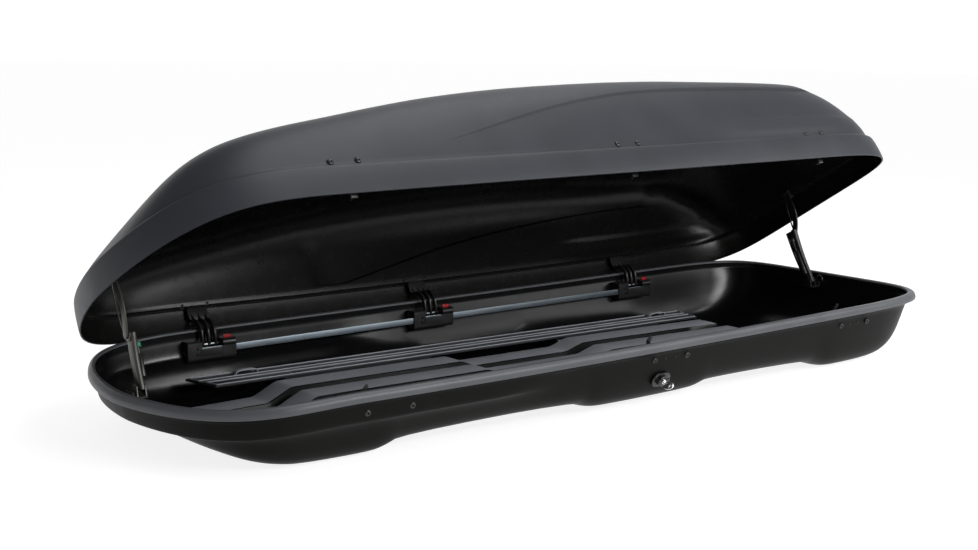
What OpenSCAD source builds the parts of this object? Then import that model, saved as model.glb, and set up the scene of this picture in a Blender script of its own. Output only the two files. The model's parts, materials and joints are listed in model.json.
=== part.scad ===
// Roof cargo box, lid standing open on its far side.
// X runs along the length (nose at -X), -Y is the side that opens, +Y the hinge side, Z is up.
// The origin is the centre of the four clamp slots; the rails fall slightly towards the tail.

/* [Overall] */
// Length of the rim, nose to tail (mm)
L = 2200; // [1800:10:2400]
// Width of the rim (mm)
W = 761; // [600:1:950]
// Height of the rim's outer lower edge above the origin (mm)
RZ = 94; // [60:1:160]
// Wall of the tub's floor (mm)
WALL = 4; // [3:0.5:6]
// Wall of the lid (mm)
LWALL = 3.5; // [2.5:0.5:6]
// Angle at which the lid stands open (deg)
TH = 31.5; // [0:0.5:45]

/* [Plan shape] */
// Where the nose curve starts (mm)
XN = -750; // [-900:10:-600]
// Bluntness of the nose, lengthwise
PF = 4.21; // [1.5:0.01:6]
// Bluntness of the nose, across
QF = 1.64; // [1:0.01:4]
// Where the tail corner curve starts (mm)
XR = 440; // [300:10:900]
// Squareness of the tail corners
PR = 6.09; // [2:0.01:9]
// Where the sides begin to taper to the nose (mm)
X0 = -107; // [-400:1:400]
// Taper of the sides (1/mm)
KT = 0.0000236; // [0:0.0000001:0.0001]
// Droop of the rim at the nose (mm)
DN = 27; // [0:1:60]
// Upward sweep of the rim (1/mm)
KZ = 0.0000054; // [0:0.0000001:0.00002]

/* [Hinge and latches] */
// Hinge axis, across (mm)
HY = 338; // [320:0.5:350]
// Hinge axis, height (mm)
HZ = 82; // [70:0.5:100]
// Far hinge units, along the length (mm)
XF = [-709, -78, 637];
// Near latch units, along the length (mm)
XC = [-688, 82, 747];
// Hinge and claw pin radius (mm)
PINR = 3; // [2:0.5:4]
// Running clearance round a pin (mm)
FIT = 0.06; // [0.02:0.01:0.1]

/* [Floor rails] */
// Fall of the rails towards the tail (mm per mm)
FALL = 0.015; // [0:0.001:0.02]
// Level of the rails at the middle (mm)
RAILZ = 10; // [6:0.5:12]
// Distance of each rail from the middle (mm)
RY = 230; // [180:5:235]
// Clamp slot centres, either side of the middle (mm)
SX = 400; // [300:10:500]
// Clamp slot, end to end (mm)
SLOT = 360; // [100:10:400]
// Clamp slot half width (mm)
SR = 4.3; // [3:0.1:6]

/* [Hidden] */
$fn = 32;

// ---- outline of the rim -------------------------------------------------
// Half width at x, grown by g.
function hw(x, g = 0) = W/2 + g - (x < X0 ? KT*pow(x - X0, 2) : 0);
// Rim height at x, above the level part.
function zc(x) = KZ*x*x - DN*pow(max(0, (XN - x)/(L/2 + XN)), 1.9);

NA = 13;
SIDE = [-705, -665, -625, -400, -172, -130, -90, 50, 190, 222, 250, 400];
TAIL = [0, 0.13, 0.255, 0.32, 0.38, 0.44, 0.55, 0.64, 0.72, 0.79, 0.85, 0.9];
TIPS = [0.86, 0.78, 0.66, 0.5, 0.3, 0];
// Near half of the outline, nose to tail; g grows it, gn lengthens the nose only.
function half(g, gn) = concat(
  [for (i = [0:NA]) let (t = 90*i/NA, s = pow(cos(t), 2/PF), x = XN - (L/2 + XN)*s - (g + gn)*pow(s, 4))
    [x, -hw(x, g)*pow(sin(t), 2/QF)]],
  [for (x = SIDE) [x, -hw(x, g)]],
  [for (s = TAIL) let (x = XR + (L/2 - XR)*s + g*pow(s, 4)) [x, -hw(x, g)*pow(1 - pow(s, PR), 1/PR)]],
  [for (q = TIPS) let (s = pow(1 - pow(q, PR), 1/PR), x = XR + (L/2 - XR)*s + g*pow(s, 4)) [x, -hw(x, g)*q]]);
// Closed ring: near half, then the far half back to the nose.
function ring(h) = concat(h, [for (i = [len(h) - 2:-1:1]) [h[i][0], -h[i][1]]]);

// ---- one closed skin from a stack of rings ------------------------------
// rings: list of lists of [x, y, z]; the first and last are capped across.
function flat2(l) = [for (a = l) for (b = a) b];
function cap(n, m, base, up) = flat2([for (i = [0:m - 1])
  let (a = base + i, b = base + i + 1, c = base + (n - i)%n, d = base + (n - i - 1)%n)
  i == 0 ? [up ? [a, b, d] : [a, d, b]] :
  i == m - 1 ? [up ? [a, b, c] : [a, c, b]] :
  up ? [[a, b, d], [a, d, c]] : [[a, d, b], [a, c, d]]]);
module skin(rings) {
  n = len(rings[0]);
  k = len(rings);
  m = n/2;
  polyhedron(points = flat2(rings), convexity = 8, faces = concat(
    cap(n, m, 0, true),
    flat2([for (r = [0:k - 2]) flat2([for (i = [0:n - 1]) let (j = (i + 1)%n, a = r*n + i, b = r*n + j)
      [[a, a + n, b], [b, a + n, b + n]]])]),
    cap(n, m, (k - 1)*n, false)));
}

// ---- tub -----------------------------------------------------------------
// Underside, relative to the rim's lower edge: belly, front bar recess, pad, rear bar recess, tail lobe.
BELLY = [[-1100, -60], [-1040, -72], [-1000, -86], [-950, -106], [-900, -118], [-850, -124], [-700, -126],
  [-665, -121], [-625, -104], [-172, -104], [-130, -120], [-90, -125], [190, -126], [222, -119], [250, -111],
  [610, -118], [650, -128], [690, -140], [730, -143], [900, -142], [960, -131], [1010, -112], [1060, -86],
  [1100, -60]];
function zb(x) = lookup(x, BELLY);
// Each: inset from the rim, share of rim height, extra height.
TUB_OUT = [[118, 0, 0], [94, 0, 0.8], [70, 0.05, 0], [49, 0.2, 0], [35, 0.48, 0], [25, 0.8, 0], [18, 0.97, 0],
  [15.5, 1, 0], [1.5, 1, -0.5], [0, 1, 1.5], [0, 1, 7], [2, 1, 11.5], [6.5, 1, 16.5], [12, 1, 19]];
TUB_IN = [[17, 1, 19], [19, 1, 17], [20, 1, 3], [22, 0.97, 0], [29, 0.8, 0], [39, 0.48, 0],
  [53, 0.2, WALL - 2], [73, 0.05, WALL - 0.6], [96, 0, WALL + 0.8], [119, 0, WALL]];
function tub_ring(r) = [for (p = ring(half(-r[0], 0)))
  [p[0], p[1], RZ + r[1]*zc(p[0]) + (1 - r[1])*zb(p[0]) + r[2]]];
LY = 344;   // wall face at the lock, across
LZ = 21;    // lock height
LX = 60;    // lock, along
LT = 20;    // draft of the wall at the lock

module at_lock() translate([LX, -LY, LZ]) rotate([90 + LT, 0, 0]) children();
module at_near(x, dz) translate([x, -(hw(x) - 25), RZ + dz]) rotate([90 + 17, 0, 0]) children();
module at_far(x, dz) translate([x, hw(x) - 25, RZ + dz]) rotate([-90 - 17, 0, 0]) children();
SP = 52;    // half the spacing of a housing's two screws
module tub_shell() color("#26262a") difference() {
  skin([for (r = concat(TUB_OUT, TUB_IN)) tub_ring(r)]);
  for (x = [-SX, SX], y = [-RY, RY]) translate([x - SLOT/2 - 8, y - 9, -30]) cube([SLOT + 16, 18, 28]);
  for (c = XC, s = [-SP, SP]) at_near(c + s, -25) translate([0, 0, -12]) cylinder(r = 2.7, h = 24, $fn = 20);
  for (c = XF, s = [-SP, SP]) at_far(c + s, -25) translate([0, 0, -12]) cylinder(r = 2.7, h = 24, $fn = 20);
  at_lock() translate([0, 0, -16]) cylinder(r = 11.5, h = 30);
}

// ---- lid -----------------------------------------------------------------
// Top line of the lid: x, height above the rim's lower edge.
CROWN = [[-1112, 52], [-1090, 76], [-1070, 100], [-1040, 130], [-1000, 158], [-950, 184], [-884, 207],
  [-771, 232], [-654, 250], [-529, 271], [-397, 290], [-261, 303], [-119, 312], [100, 319], [300, 320],
  [475, 314], [653, 308], [791, 300], [850, 290], [900, 272], [950, 245], [990, 218], [1020, 188],
  [1050, 150], [1075, 112], [1100, 96]];
function top(x) = lookup(x, CROWN);
// Each: inset, share of crown height, height above the rim's lower edge.
SKT = 88.5;  // height of the skirt's shoulder
LID_OUT = [[6, 0, 22], [6.5, 0, 27], [11, 0, 82], [12.5, 0, 85.5], [17, 0, SKT], [22, 0.12, SKT],
  [28, 0.3, SKT], [36, 0.5, SKT], [48, 0.68, SKT], [66, 0.82, SKT], [95, 0.92, SKT], [140, 0.975, SKT],
  [205, 1, SKT], [262, 1, SKT + 3.5]];
LONGER = 12;  // how much further forward the lid's nose reaches
// One ring of a skin of the lid, w inside the outer skin.
function lid_ring(r, w) = [for (p = ring(half(-r[0] - w, LONGER)))
  [p[0], p[1], RZ + (1 - r[1])*(r[2] + zc(p[0])) + r[1]*(top(p[0]) + r[2] - SKT) - (r[2] > 82 ? w : 0)]];
// Turns what is built with the lid shut to where the lid stands open.
module lidpose() translate([0, HY, HZ]) rotate([-TH, 0, 0]) translate([0, -HY, -HZ]) children();
// Screws stand just above the crease of the skirt.
module lid_near(x) translate([x, -(hw(x) - 17.5), RZ + 91]) rotate([90, 0, 0]) children();
module lid_far(x) translate([x, hw(x) - 17.5, RZ + 91]) rotate([-90, 0, 0]) children();
LP = 32;    // half the spacing of a bracket's two screws
SEAT = 22.3;  // inset of a bracket's plate, behind the lid's wall
module lid_shell() color("#3c3e45") lidpose() difference() {
  skin(concat([for (i = [len(LID_OUT) - 1:-1:0]) lid_ring(LID_OUT[i], LWALL)],
    [for (r = LID_OUT) lid_ring(r, 0)]));
  for (c = XC, s = [-LP, LP]) lid_near(c + s) translate([0, 0, -14]) cylinder(r = 2.7, h = 28, $fn = 20);
  for (c = XF, s = [-LP, LP]) lid_far(c + s) translate([0, 0, -14]) cylinder(r = 2.7, h = 28, $fn = 20);
}

// ---- floor rails ---------------------------------------------------------
module slot2(len, r) {
  square([len - 2*r, 2*r], center = true);
  for (s = [-1, 1]) translate([s*(len/2 - r), 0]) circle(r = r);
}
RW = 46;    // half the width of a rail
// An inverted channel with two clamp slots, standing in the two roof-bar stretches of the floor.
module rail() {
  intersection() {
    translate([0, 0, -60]) linear_extrude(120) difference() {
      polygon([[-776, -RW], [748, -RW], [770, RW], [-802, RW]]);
      for (x = [-SX, SX]) translate([x, 0]) slot2(SLOT, SR);
    }
    translate([0, 0, RAILZ]) rotate([0, atan(FALL), 0]) cube([1800, 3*RW, 5], center = true);
  }
  for (y = [4 - RW, RW]) translate([0, y, 0]) rotate([90, 0, 0]) linear_extrude(4) {
    polygon([[-600, -6.1], [-190, -6.1], [-190, 11], [-600, 17.2]]);
    polygon([[262, -13.3], [592, -19.8], [592, -0.6], [262, 4.4]]);
  }
}
module rail_near() color("#33363a") translate([0, -RY, 0]) rail();
module rail_far() color("#33363a") translate([0, RY, 0]) rail();

// ---- latch and hinge housings -------------------------------------------
// Local frame: origin on the axis line of the unit, +y towards the wall.
BARZ = -12;  // lock bar centre below the hinge axis
module house(w, back) difference() {
  union() {
    rotate([90, 0, 90]) translate([0, 0, -w/2]) linear_extrude(w)
      polygon([[-17, -30], [-13, -36], [back - 13, -36], [back - 3, -10], [back, 2], [back, 12],
        [-13, 12], [-17, 8]]);
    for (s = [-SP, SP]) translate([s - 9, -6, -20]) rotate([90, 0, 90]) linear_extrude(18)
      polygon([[-4, 0], [back + 1, 0], [back + 5, 14], [-4, 14]]);
  }
  translate([-w, -14.75, BARZ - 8.25]) cube([2*w, 4, 16.5]);
  for (s = [-SP, SP]) translate([s, back - 1, -13]) rotate([-107, 0, 0]) translate([0, 0, -12])
    cylinder(r = 2.7, h = 24, $fn = 20);
}
module hinge_house(i) translate([XF[i], HY, HZ]) {
  b = hw(XF[i]) - HY - 27.5;
  difference() {
    house(124, b);
    translate([-26, -20, -12]) cube([52, 60, 40]);
    translate([-40, 0, 0]) rotate([0, 90, 0]) cylinder(r = PINR + 0.03, h = 80);
  }
}
module latch_house(i) translate([XC[i], -HY, HZ]) mirror([0, 1, 0]) {
  b = hw(XC[i]) - HY - 27.5;
  difference() {
    house(124, b);
    translate([-42, -5, -22]) cube([76, 8.5, 50]);
    translate([-58, -5, -4]) cube([26, 8.5, 30]);
  }
}
module latch_housing_1() color("#1c1c1e") latch_house(0);
module latch_housing_2() color("#1c1c1e") latch_house(1);
module latch_housing_3() color("#1c1c1e") latch_house(2);
module hinge_housing_1() color("#1c1c1e") hinge_house(0);
module hinge_housing_2() color("#1c1c1e") hinge_house(1);
module hinge_housing_3() color("#1c1c1e") hinge_house(2);

// ---- lock bars -----------------------------------------------------------
// Flat bar through the three units at xs, its outer face at y.
module lock_bar(xs, y) translate([xs[0] - 50, y, HZ + BARZ - 7.5]) cube([xs[2] - xs[0] + 100, 2.5, 15]);
module lock_bar_near() color("#8b97a2") lock_bar(XC, -HY + 11);
module lock_bar_far() color("#8b97a2") lock_bar(XF, HY - 13.5);

// ---- claws ---------------------------------------------------------------
// A hook that turns in the lengthwise plane; turned by CLOSE it holds the striker's pin.
CPZ = -14;   // claw pivot below the axis line
CLOSE = 50;  // turn from free to holding
CPX = -14;   // claw pivot, along from the unit
module claw(i) translate([XC[i] + CPX, -HY + 3.8, HZ + CPZ]) rotate([90, 0, 0]) rotate(CLOSE)
  linear_extrude(5) difference() {
    union() {
      circle(r = 6.5);
      polygon([[-5.8, 0], [5.8, 0], [6, 49], [7.5, 55.8], [20, 55.8], [21, 61], [5, 63], [-3, 58], [-7, 30]]);
    }
    circle(r = PINR + FIT);
  }
module claw_1() color("#9a9ca0") claw(0);
module claw_2() color("#9a9ca0") claw(1);
module claw_3() color("#9a9ca0") claw(2);
module claw_pins() color("#9a9ca0") for (x = XC)
  translate([x + CPX, -HY + 8, HZ + CPZ]) rotate([90, 0, 0]) cylinder(r = PINR, h = 10.4);

// ---- strikers on the lid ---------------------------------------------------
module striker(i) lidpose() translate([XC[i], 0, RZ]) {
  e = hw(XC[i]) - SEAT;
  rotate([90, 0, 90]) translate([0, 0, -8]) linear_extrude(16)
    polygon([[-e, 58], [-e + 3, 58], [-HY - 6, 46], [-HY - 6, 22], [-HY - 10, 22], [-HY - 10, 42], [-e, 52]]);
  difference() {
    translate([-42, -e, 50]) cube([84, 3, 46]);
    for (s = [-LP, LP]) translate([s, -e - 1, 91]) rotate([-90, 0, 0]) cylinder(r = 2.7, h = 8, $fn = 20);
  }
  translate([0, -HY - 6.5, 26]) rotate([-90, 0, 0]) cylinder(r = 3.2, h = 12);
}
module striker_1() color("#101012") striker(0);
module striker_2() color("#101012") striker(1);
module striker_3() color("#101012") striker(2);

// ---- hinge arms, pins and lock indicators ----------------------------------
// Side view of an arm that reaches e outwards, its eye on the axis.
EYE = 5;     // radius of the eye, kept small to clear the wall behind it
module arm_profile(e) {
  circle(r = EYE);
  polygon([[-4.5, -2], [4.5, 1], [1, 8], [-4, 16], [-8, 30], [-6, 44], [2, 53], [e - 3, 58], [e, 62], [e, 76],
    [e - 4, 74], [e - 6, 66], [-1, 62], [-12, 51], [-17, 34], [-14, 14]]);
}
module hinge_arm(i) lidpose() translate([XF[i], HY, HZ]) {
  e = hw(XF[i]) - SEAT - HY;
  for (x = [-19, -2.5, 14]) translate([x, 0, 0]) rotate([90, 0, 90]) linear_extrude(5) difference() {
    arm_profile(e);
    circle(r = PINR + FIT);
  }
  difference() {
    translate([-42, e - 3, 58]) cube([84, 3, 50]);
    for (s = [-LP, LP]) translate([s, e - 4, RZ + 91 - HZ]) rotate([-90, 0, 0])
      cylinder(r = 2.7, h = 8, $fn = 20);
  }
}
module hinge_arms_1() color("#101012") hinge_arm(0);
module hinge_arms_2() color("#101012") hinge_arm(1);
module hinge_arms_3() color("#101012") hinge_arm(2);
module hinge_pin(i) translate([XF[i] - 38, HY, HZ]) rotate([0, 90, 0]) cylinder(r = PINR, h = 76);
module hinge_pin_1() color("#9a9ca0") hinge_pin(0);
module hinge_pin_2() color("#9a9ca0") hinge_pin(1);
module hinge_pin_3() color("#9a9ca0") hinge_pin(2);
// Tab that stands proud of a hinge housing.
module indicator(i) translate([XF[i] + 30, HY - 12, HZ + 12.1])
  linear_extrude(7) polygon([[0, 0], [20, 0], [17, 10], [4, 10]]);
module indicator_1() color("#b01c1c") indicator(0);
module indicator_2() color("#b01c1c") indicator(1);
module indicator_3() color("#b01c1c") indicator(2);

// ---- screws ------------------------------------------------------------------
// Round-headed screw whose head sits at seat, with a shank of length len below it.
module screw(len, seat) translate([0, 0, seat]) {
  cylinder(r1 = 6, r2 = 4.4, h = 2.6);
  translate([0, 0, -len]) cylinder(r = 2.5, h = len);
}
module tub_screws_near() color("#17171a") for (c = XC, s = [-SP, SP]) at_near(c + s, -25) screw(16, 1);
module tub_screws_far() color("#17171a") for (c = XF, s = [-SP, SP]) at_far(c + s, -25) screw(16, 1);
module lid_screws_near() color("#17171a") lidpose() for (c = XC, s = [-LP, LP]) lid_near(c + s) screw(9, 1);
module lid_screws_far() color("#17171a") lidpose() for (c = XF, s = [-LP, LP]) lid_far(c + s) screw(9, 1);

// ---- lock --------------------------------------------------------------------
module lock_bezel() color("#151517") at_lock() difference() {
  union() {
    translate([0, 0, 1]) linear_extrude(4) slot2(56, 17);
    translate([0, 0, -15]) cylinder(r = 11.2, h = 17);
  }
  translate([0, 0, -16]) cylinder(r = 8.06, h = 30);
}
module lock_knob() color("#0d0d0f") at_lock() difference() {
  union() {
    translate([0, 0, -14]) cylinder(r = 8, h = 20);
    translate([0, 0, 5.2]) cylinder(r = 14, h = 7);
    translate([-17, -5, 5.2]) cube([34, 10, 9]);
  }
  translate([0, 0, -20]) cylinder(r = 6 + FIT, h = 40);
}
module key_cylinder() color("#c8cacc") at_lock() difference() {
  translate([0, 0, -13]) cylinder(r = 6, h = 28);
  rotate([0, 0, 35]) translate([-3.6, -1.1, 2]) cube([7.2, 2.2, 20]);
}
module key() color("#c8cacc") at_lock() rotate([0, 0, 35]) {
  translate([-3.5, -1, 3]) cube([7, 2, 17]);
  translate([0, 1, 30]) rotate([90, 0, 0]) linear_extrude(2) difference() {
    circle(r = 11.5);
    translate([0, 6]) circle(r = 2.5);
  }
}

// ---- lifters -------------------------------------------------------------------
// Each: plane along X, side of the wall (+1 tail), then foot, elbow and lid pivots
// as [y, z above the rim's lower edge].
FL = [-1042, -1, [20, -4], [55, 96], [30, 66]];
RL = [1048, 1, [20, 5], [92, 131], [30, 95]];
HOLE = 3 + FIT;  // radius of an arm's pin hole
// Where a point of the shut lid stands when the lid is open, [y, z above the rim's lower edge].
function open_at(p) = let (y = p[0] - HY, z = p[1] + RZ - HZ)
  [HY + y*cos(TH) + z*sin(TH), HZ - RZ - y*sin(TH) + z*cos(TH)];
// Slab of thickness t, starting u from the lifter's plane towards its wall.
module slab(q, u, t) translate([q[1] > 0 ? q[0] + u : q[0] - u - t, 0, RZ])
  rotate([90, 0, 90]) linear_extrude(t) children();
// Round rod along X, from u to u + t towards the wall.
module rod(q, p, u, t, r) translate([q[1] > 0 ? q[0] + u : q[0] - u - t, p[0], RZ + p[1]])
  rotate([0, 90, 0]) cylinder(r = r, h = t);
// Flat bar with round ends from a to b.
module bar2(a, b, r) {
  d = b - a;
  translate(a) rotate(atan2(d[1], d[0])) translate([0, 0.4 - r]) square([norm(d), 2*r - 0.8]);
  translate(a) circle(r = r);
  translate(b) circle(r = r);
}
// The same bar as a plate, with a hole of radius ha at a and hb at b.
module link(q, u, t, a, b, r, ha, hb) slab(q, u, t) difference() {
  bar2(a, b, r);
  if (ha > 0) translate(a) circle(r = ha);
  if (hb > 0) translate(b) circle(r = hb);
}
// Lower arm: a channel of two cheeks and a web.
module lower_arm(q) {
  a = q[2];
  b = q[3];
  d = b - a;
  for (u = [-3.1, -12.6]) link(q, u, 2.5, a, b, 9, HOLE, HOLE);
  slab(q, -12.6, 12) translate(a) rotate(atan2(d[1], d[0])) translate([15, -9]) square([norm(d) - 30, 2.5]);
}
module upper_arm(q) link(q, 0, 4, q[3], open_at(q[4]), 6, 0, HOLE);
// Spring strut beside the lower arm, on two studs.
module strut(q) {
  a = q[2];
  d = q[3] - a;
  n = norm(d);
  for (t = [25/n, 1 - 14/n]) rod(q, a + t*d, -22, 9.3, 3);
  translate([q[0] - q[1]*19, a[0], RZ + a[1]]) rotate([atan2(d[1], d[0]) - 90, 0, 0]) translate([0, 0, 20]) {
    cylinder(r = 4.6, h = n*0.6 - 14);
    cylinder(r = 2.4, h = n - 30);
  }
}
// Rivet of the elbow, held in the lower arm.
module rivets(q) {
  rod(q, q[3], -15.5, 14.9, 3);
  rod(q, q[3], -15.5, 2.8, 5);
}
// Foot: a tray on the end wall with two ears and the arm's pin.
module foot(q) {
  y = q[2][0];
  z = q[2][1];
  for (u = [-18.2, 0.4]) slab(q, u, 3)
    polygon([[y - 12, z - 16], [y + 12, z - 16], [y + 8, z + 5], [y, z + 9], [y - 8, z + 5]]);
  slab(q, -18.2, 33) translate([y - 16, z - 19]) square([32, 3.2]);
  slab(q, 12, 3) translate([y - 16, z - 19]) square([32, 14]);
  rod(q, q[2], -18, 21, 3);
}
// Lid bracket: a plate by the arm's end with the arm's pin, fixed to the end wall of the lid.
module lid_bracket(q) lidpose() {
  y = q[4][0];
  z = q[4][1];
  slab(q, 4.5, 3) translate([y - 13, z - 13]) square([26, 22]);
  slab(q, 4.5, 13) translate([y - 13, z - 13]) square([26, 3]);
  rod(q, q[4], -2, 8, 3);
}
module front_foot() color("#4a4a44") foot(FL);
module front_lower_arm() color("#5a5a52") lower_arm(FL);
module front_strut() color("#141416") strut(FL);
module front_upper_arm() color("#38383a") upper_arm(FL);
module front_rivets() color("#b08d57") rivets(FL);
module front_lid_bracket() color("#141416") lid_bracket(FL);
module rear_foot() color("#4a4a44") foot(RL);
module rear_lower_arm() color("#2a2a2c") lower_arm(RL);
module rear_strut() color("#141416") strut(RL);
module rear_upper_arm() color("#2a2a2c") upper_arm(RL);
module rear_rivets() color("#b08d57") rivets(RL);
module rear_lid_bracket() color("#141416") lid_bracket(RL);

tub_shell();
lid_shell();
rail_near();
rail_far();
latch_housing_1();
latch_housing_2();
latch_housing_3();
hinge_housing_1();
hinge_housing_2();
hinge_housing_3();
lock_bar_near();
lock_bar_far();
claw_1();
claw_2();
claw_3();
claw_pins();
striker_1();
striker_2();
striker_3();
hinge_arms_1();
hinge_arms_2();
hinge_arms_3();
hinge_pin_1();
hinge_pin_2();
hinge_pin_3();
indicator_1();
indicator_2();
indicator_3();
tub_screws_near();
tub_screws_far();
lid_screws_near();
lid_screws_far();
lock_bezel();
lock_knob();
key_cylinder();
key();
front_foot();
front_lower_arm();
front_strut();
front_upper_arm();
front_rivets();
front_lid_bracket();
rear_foot();
rear_lower_arm();
rear_strut();
rear_upper_arm();
rear_rivets();
rear_lid_bracket();
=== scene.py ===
"""Looks of the roof cargo box: finely shaped shells, rounded small parts, satin plastics and plated steel.

Lengths in the shape functions are in millimetres, in the row frame; MM turns them into metres.
The rim outline follows the same rules as the CAD part, so the shells lie where the CAD solids are.
"""
import json
import math

import bmesh
import bpy
import numpy as np
from mathutils import Matrix, Vector

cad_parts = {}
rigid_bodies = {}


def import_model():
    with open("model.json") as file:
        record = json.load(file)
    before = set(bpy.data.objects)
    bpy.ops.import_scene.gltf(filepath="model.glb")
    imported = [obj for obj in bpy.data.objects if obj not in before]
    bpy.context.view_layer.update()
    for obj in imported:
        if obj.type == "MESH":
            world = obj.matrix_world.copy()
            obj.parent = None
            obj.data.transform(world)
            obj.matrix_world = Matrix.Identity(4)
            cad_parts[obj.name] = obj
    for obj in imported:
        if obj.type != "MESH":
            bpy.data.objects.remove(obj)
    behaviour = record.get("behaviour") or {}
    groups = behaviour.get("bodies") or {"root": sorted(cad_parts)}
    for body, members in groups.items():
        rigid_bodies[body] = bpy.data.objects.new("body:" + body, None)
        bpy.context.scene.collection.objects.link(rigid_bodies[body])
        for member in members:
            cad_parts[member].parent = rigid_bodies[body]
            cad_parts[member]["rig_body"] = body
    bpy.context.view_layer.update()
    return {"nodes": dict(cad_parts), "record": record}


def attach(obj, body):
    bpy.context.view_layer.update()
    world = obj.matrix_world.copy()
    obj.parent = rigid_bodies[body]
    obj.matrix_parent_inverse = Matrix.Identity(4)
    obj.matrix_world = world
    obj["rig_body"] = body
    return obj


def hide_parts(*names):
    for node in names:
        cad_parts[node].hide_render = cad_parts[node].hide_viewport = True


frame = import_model()
MM = 0.001

# ---- driving sizes, as in the CAD part ---------------------------------------
LENGTH, WIDTH, RIM = 2200, 761, 94
NOSE_X, NOSE_P, NOSE_Q = -750, 4.21, 1.64
TAIL_X, TAIL_P = 440, 6.09
TAPER_X, TAPER = -107, 0.0000236
DROOP, DROOP_POWER, SWEEP = 27, 1.9, 0.0000054
HINGE_Y, HINGE_Z, OPEN = 338, 82, math.radians(31.5)
FAR_X = (-709, -78, 637)
NEAR_X = (-688, 82, 747)
RAIL_Y, RAIL_Z, RAIL_FALL = 230, 10, 0.015
STEP = 11          # spacing of points along the outline
FINE = 2000        # points along the straight side before they are spaced evenly
TINY = 1e-6        # metres, edges shorter than this are dissolved
MERGE = 1e-5       # metres, points of a CAD mesh nearer than this are one
ACROSS = (1, 0, 0)

UNDERSIDE = [(-1100, -60), (-1040, -72), (-1000, -86), (-950, -106), (-900, -118), (-850, -124), (-700, -126),
             (-665, -121), (-625, -104), (-172, -104), (-130, -120), (-90, -125), (190, -126), (222, -119),
             (250, -111), (610, -118), (650, -128), (690, -140), (730, -143), (900, -142), (960, -131),
             (1010, -112), (1060, -86), (1100, -60)]
CROWN = [(-1112, 52), (-1090, 76), (-1070, 100), (-1040, 130), (-1000, 158), (-950, 184), (-884, 207),
         (-771, 232), (-654, 250), (-529, 271), (-397, 290), (-261, 303), (-119, 312), (100, 319), (300, 320),
         (475, 314), (653, 308), (791, 300), (850, 290), (900, 272), (950, 245), (990, 218), (1020, 188),
         (1050, 150), (1075, 112), (1100, 96)]


# ---- curves ------------------------------------------------------------------
def rounded(points, passes=2):
    """The polyline with its corners cut, which leaves smooth bends and keeps the ends in place."""
    p = np.array(points, float)
    for _ in range(passes):
        a, b = p[:-1], p[1:]
        q = np.empty((2 * len(a), p.shape[1]))
        q[0::2] = 0.75 * a + 0.25 * b
        q[1::2] = 0.25 * a + 0.75 * b
        p = np.vstack([p[:1], q, p[-1:]])
    return p


def smoothstep(x, low, high):
    t = np.clip((x - low) / (high - low), 0, 1)
    return t * t * (3 - 2 * t)


UNDER = rounded(UNDERSIDE)
TOP = rounded(CROWN)


def underside(x):
    return np.interp(x, UNDER[:, 0], UNDER[:, 1])


def crown(x):
    return np.interp(x, TOP[:, 0], TOP[:, 1])


def half_width(x):
    return WIDTH / 2 - TAPER * np.where(x < TAPER_X, x - TAPER_X, 0) ** 2


def rim_rise(x):
    nose = np.clip((NOSE_X - x) / (LENGTH / 2 + NOSE_X), 0, None)
    return SWEEP * x * x - DROOP * nose ** DROOP_POWER


def outline_stations():
    """Stations along the near half, nose to tail, spaced evenly.

    Each is [base x, push of a grown ring along x, the nose's part of that push, share of the width].
    """
    turn = np.radians(90 * (1 - (1 - np.linspace(0, 1, 2 * FINE)) ** 3))
    s, w = np.cos(turn) ** (2 / NOSE_P), np.sin(turn) ** (2 / NOSE_Q)
    nose = np.stack([NOSE_X - (LENGTH / 2 + NOSE_X) * s, -s ** 4, -s ** 4, w], 1)
    side_x = np.linspace(NOSE_X, TAIL_X, FINE)[1:-1]
    side = np.stack([side_x, 0 * side_x, 0 * side_x, 0 * side_x + 1], 1)
    turn = np.radians(90 * np.linspace(0, 1, 3 * FINE) ** 1.5)
    s, w = np.sin(turn) ** (2 / TAIL_P), np.cos(turn) ** (2 / TAIL_P)
    tail = np.stack([TAIL_X + (LENGTH / 2 - TAIL_X) * s, s ** 4, 0 * s, w], 1)
    dense = np.vstack([nose, side, tail])
    place = np.stack([dense[:, 0], half_width(dense[:, 0]) * dense[:, 3]], 1)
    run = np.r_[0, np.cumsum(np.linalg.norm(np.diff(place, axis=0), axis=1))]
    even = np.linspace(0, run[-1], int(run[-1] / STEP) + 1)
    return np.stack([np.interp(even, run, dense[:, k]) for k in range(4)], 1)


STATIONS = outline_stations()


def near_half(inset, nose_extra=0):
    """x and half width along the near half of the rim; inset may differ from station to station.

    At the tips a deep ring would turn back on itself, so its x is held level there.
    """
    x = STATIONS[:, 0] - STATIONS[:, 1] * inset + STATIONS[:, 2] * nose_extra
    x = np.maximum.accumulate(x)
    return x, (half_width(x) - inset) * STATIONS[:, 3]


# ---- meshes ------------------------------------------------------------------
def mesh_object(name, points, faces, sharp=35, finishes=None):
    """A new object; finishes gives each face's material number."""
    mesh = bpy.data.meshes.new(name)
    mesh.from_pydata([tuple(p) for p in np.asarray(points) * MM], [], faces)
    if finishes:
        mesh.polygons.foreach_set("material_index", finishes)
    mesh.validate()
    return finished(name, mesh, sharp)


def finished(name, mesh, sharp):
    """A new object of this mesh, faces pointing outwards and shaded smooth up to the angle sharp."""
    bm = bmesh.new()
    bm.from_mesh(mesh)
    bmesh.ops.dissolve_degenerate(bm, dist=TINY, edges=bm.edges)
    bmesh.ops.recalc_face_normals(bm, faces=bm.faces)
    bm.to_mesh(mesh)
    bm.free()
    mesh.polygons.foreach_set("use_smooth", [True] * len(mesh.polygons))
    mesh.set_sharp_from_angle(angle=math.radians(sharp))
    piece = bpy.data.objects.new(name, mesh)
    bpy.context.scene.collection.objects.link(piece)
    return piece


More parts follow.
